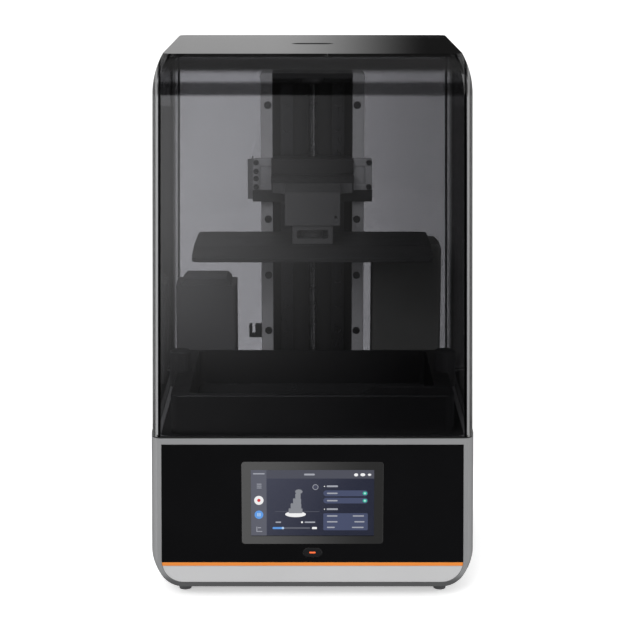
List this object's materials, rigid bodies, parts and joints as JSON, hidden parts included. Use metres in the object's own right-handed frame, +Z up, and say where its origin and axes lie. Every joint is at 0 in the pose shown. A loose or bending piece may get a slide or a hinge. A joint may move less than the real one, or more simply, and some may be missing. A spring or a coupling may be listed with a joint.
{
  "type": "resin printer",
  "caption": "Desktop resin 3-D printer: drafted base with touch display, screw-driven tower and build plate over a vat, under a smoked lift-off hood.",
  "frame": {"origin": "on the floor, in the middle of the footprint", "axes": "+Z up, the display faces -Y, +X is to the right of someone facing the display"},
  "size_m": [0.2932, 0.27, 0.49],
  "materials": {
    "shell_silver": "satin",
    "sheet_grey": "satin",
    "foot_rubber": "matte",
    "panel_black": "gloss",
    "stripe_orange": "gloss",
    "trim_light": "matte",
    "touch_glass": "gloss",
    "display_panel": "gloss",
    "button_black": "gloss",
    "status_red": "gloss",
    "deck_dark": "satin",
    "screen_glass": "gloss",
    "vat_dark": "satin",
    "film_clear": "gloss",
    "steel_plain": "satin",
    "knob_dark": "satin",
    "tower_alloy": "satin",
    "screw_steel": "satin",
    "rail_steel": "satin",
    "motor_steel": "satin",
    "alloy_plain": "satin",
    "carriage_dark": "satin",
    "nut_brass": "satin",
    "plastic_dark": "matte",
    "arm_alloy": "satin",
    "plate_alloy": "satin",
    "hood_smoke": "gloss",
    "seal_rubber": "matte",
    "module_dark": "satin",
    "filter_black": "matte",
    "fan_plastic": "matte",
    "bottle_dark": "satin",
    "lens_clear": "gloss",
    "board_green": "satin",
    "rocker_black": "gloss"
  },
  "bodies": {
    "chassis": {"accent_stripe": "stripe_orange", "base_shell": "shell_silver", "bottom_plate": "sheet_grey", "column": "tower_alloy", "column_cap": "tower_alloy", "column_screws": "screw_steel", "deck_plate": "deck_dark", "display_module": "display_panel", "exposure_screen": "screen_glass", "fan_frame": "fan_plastic", "fan_guard": "screw_steel", "fan_screws": "screw_steel", "feet": "foot_rubber", "filter_block": "filter_black", "filter_cap": "module_dark", "filter_housing": "module_dark", "front_panel": "panel_black", "heat_sink": "alloy_plain", "led_board": "board_green", "lens_plate": "lens_clear", "light_tunnel": "sheet_grey", "limit_sensor": "plastic_dark", "linear_rails": "rail_steel", "lower_trim": "trim_light", "mainboard": "board_green", "motor_mount": "sheet_grey", "power_inlet": "plastic_dark", "power_supply": "steel_plain", "resin_feeder": "plastic_dark", "screw_bearing": "steel_plain", "stepper_motor": "motor_steel", "switch_frame": "plastic_dark", "touch_glass": "touch_glass", "usb_port": "steel_plain"},
    "hood": {"hood": "hood_smoke", "hood_seal": "seal_rubber", "hood_grip": "plastic_dark"},
    "carriage": {"carriage_plate": "carriage_dark", "carriage_screws": "screw_steel", "rail_blocks": "rail_steel", "lead_nut": "nut_brass", "limit_flag": "sheet_grey", "arm_bracket": "arm_alloy", "clamp_block": "arm_alloy", "clamp_screws": "screw_steel", "build_plate": "plate_alloy"},
    "drive_screw": {"lead_screw": "rail_steel", "shaft_coupling": "alloy_plain"},
    "vat": {"vat_body": "vat_dark", "release_film": "film_clear", "film_frame": "steel_plain"},
    "knob_left": {"vat_knob_left": "knob_dark"},
    "knob_right": {"vat_knob_right": "knob_dark"},
    "button": {"power_button": "button_black", "status_light": "status_red"},
    "rocker": {"power_rocker": "rocker_black"},
    "cooling_rotor": {"fan_rotor": "fan_plastic"},
    "filter_rotor": {"filter_fan": "fan_plastic"},
    "bottle": {"resin_bottle": "bottle_dark", "bottle_cap": "plastic_dark"}
  },
  "joints": [
    {"name": "hood_lift", "type": "slide", "parent": "chassis", "child": "hood", "axis": [0, 0, 1], "range_m": [0, 0.33]},
    {"name": "z_travel", "type": "slide", "parent": "chassis", "child": "carriage", "axis": [0, 0, 1], "range_m": [-0.1455, 0.068]},
    {"name": "screw_turn", "type": "hinge", "parent": "chassis", "child": "drive_screw", "pos_m": [0, 0.073, 0.2], "axis": [0, 0, 1], "range_deg": [-3100, 6600]},
    {"name": "vat_lift", "type": "slide", "parent": "chassis", "child": "vat", "axis": [0, 0, 1], "range_m": [0, 0.08]},
    {"name": "knob_left_turn", "type": "hinge", "parent": "vat", "child": "knob_left", "pos_m": [-0.1244, -0.025, 0.18], "axis": [0, 0, 1], "range_deg": [0, 1080]},
    {"name": "knob_right_turn", "type": "hinge", "parent": "vat", "child": "knob_right", "pos_m": [0.1244, -0.025, 0.18], "axis": [0, 0, 1], "range_deg": [0, 1080]},
    {"name": "button_press", "type": "slide", "parent": "chassis", "child": "button", "axis": [0, 1, 0], "range_m": [0, 0.0012], "stiffness_N_per_m": 400},
    {"name": "rocker_tilt", "type": "hinge", "parent": "chassis", "child": "rocker", "pos_m": [0.061, 0.131, 0.045], "axis": [1, 0, 0], "range_deg": [-12, 0]},
    {"name": "cooling_fan_spin", "type": "hinge", "parent": "chassis", "child": "cooling_rotor", "pos_m": [-0.085, 0.115, 0.07695], "axis": [0, 1, 0], "continuous": true},
    {"name": "filter_fan_spin", "type": "hinge", "parent": "chassis", "child": "filter_rotor", "pos_m": [-0.1045, 0.081, 0.1804], "axis": [0, 1, 0], "continuous": true},
    {"name": "bottle_lift", "type": "slide", "parent": "chassis", "child": "bottle", "axis": [0, 0, 1], "range_m": [0, 0.12]}
  ],
  "couplings": [
    {"joint": "screw_turn", "follows": "z_travel", "rad_per_m": -785.4}
  ]
}
